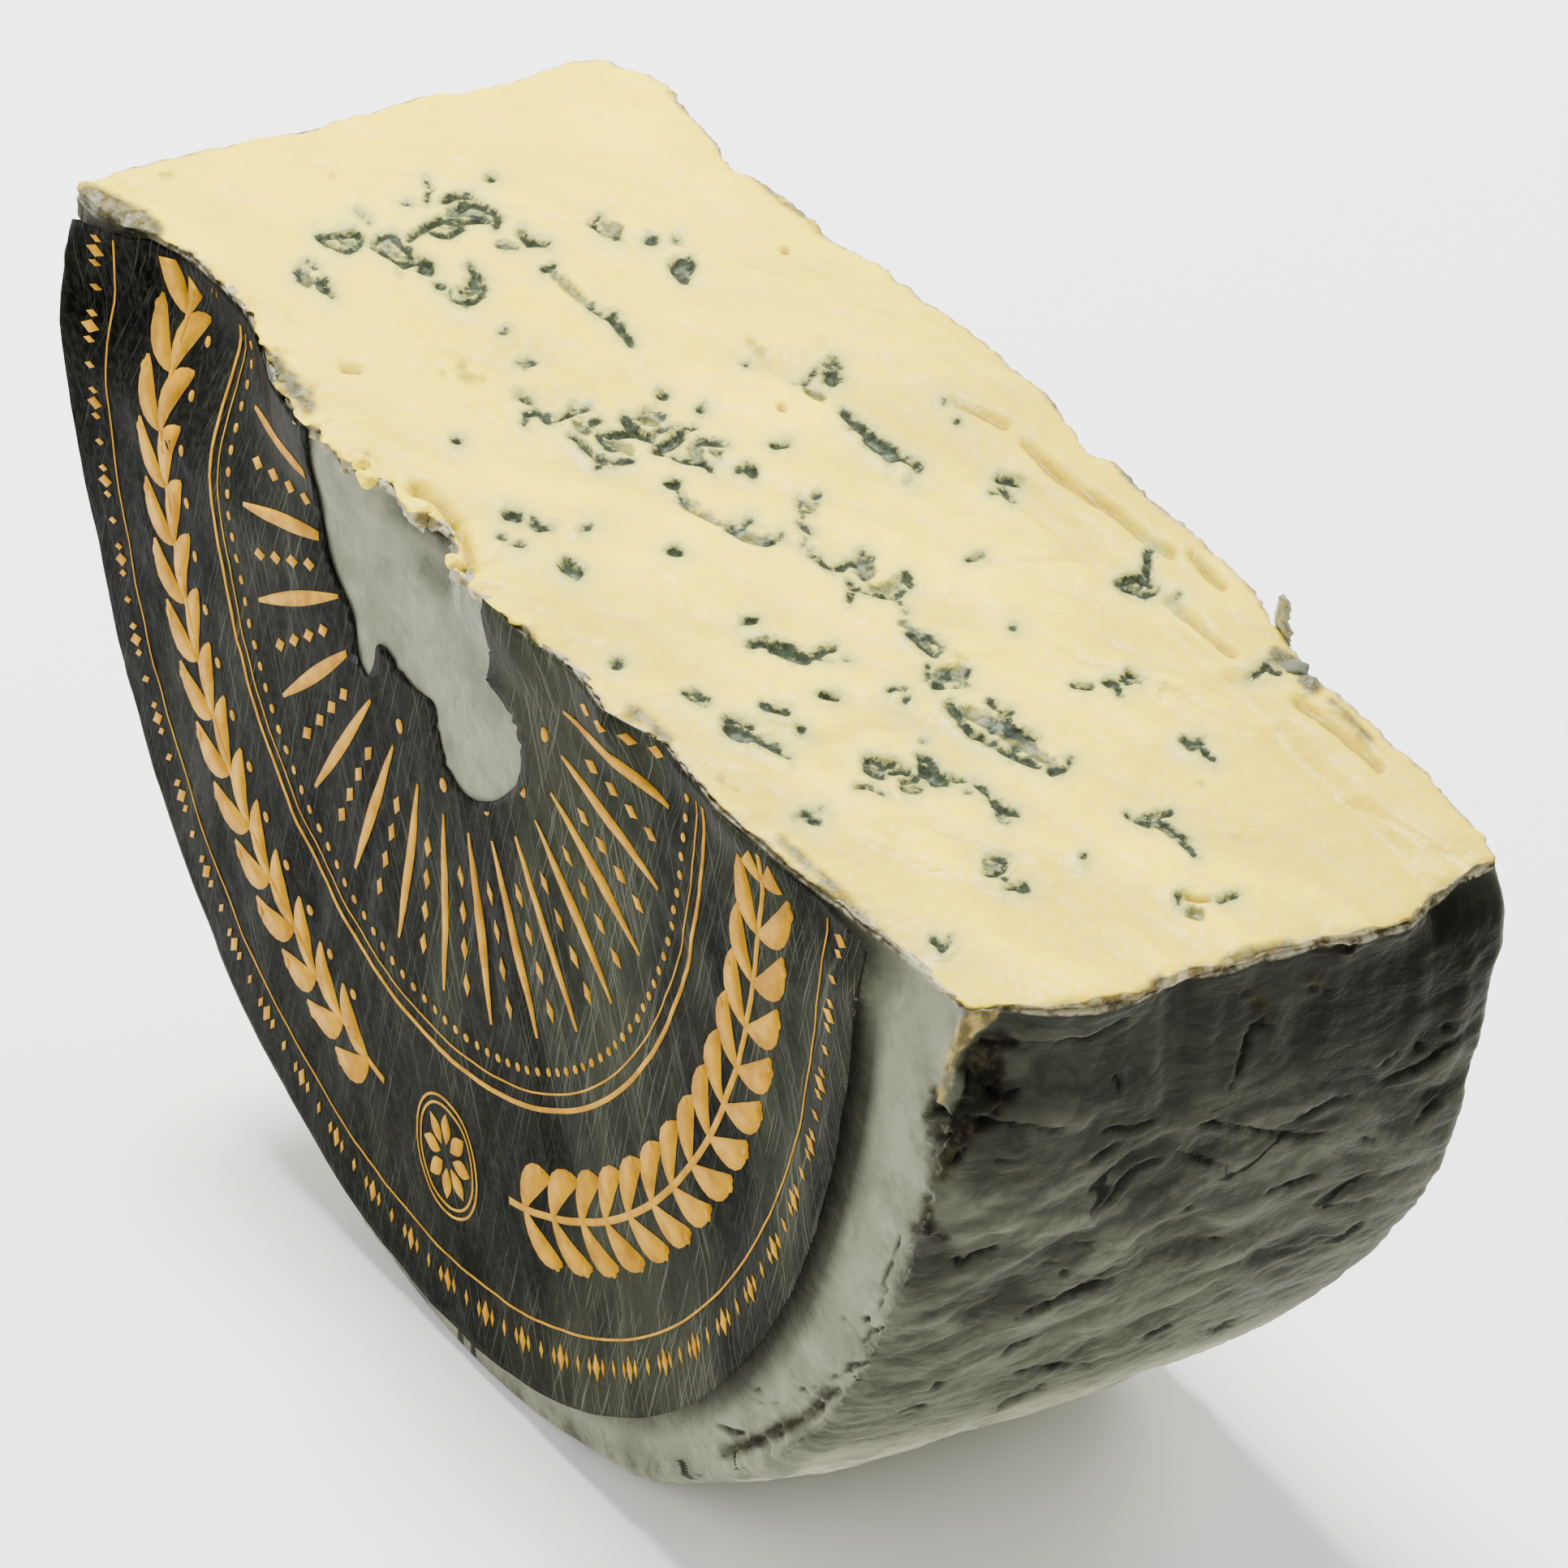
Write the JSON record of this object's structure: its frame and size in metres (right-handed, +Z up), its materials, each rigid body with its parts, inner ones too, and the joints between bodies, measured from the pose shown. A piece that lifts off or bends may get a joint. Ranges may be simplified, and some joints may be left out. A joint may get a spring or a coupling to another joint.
{
  "type": "half blue cheese wheel",
  "caption": "Half of a soft blue cheese wheel standing on its round side, with a veined cream cut on top, a wrinkled grey rind and a dark round label.",
  "frame": {"origin": "under the middle of the part's box, on the surface that the round side rests on", "axes": "+X along the cut, +Y from the labelled face through to the bare face, +Z up out of the cut"},
  "size_m": [0.1996, 0.0728, 0.1031],
  "materials": {
    "cheese": "satin",
    "label": "satin"
  },
  "bodies": {
    "root": {"cheese": "cheese", "label": "label"}
  },
  "joints": []
}
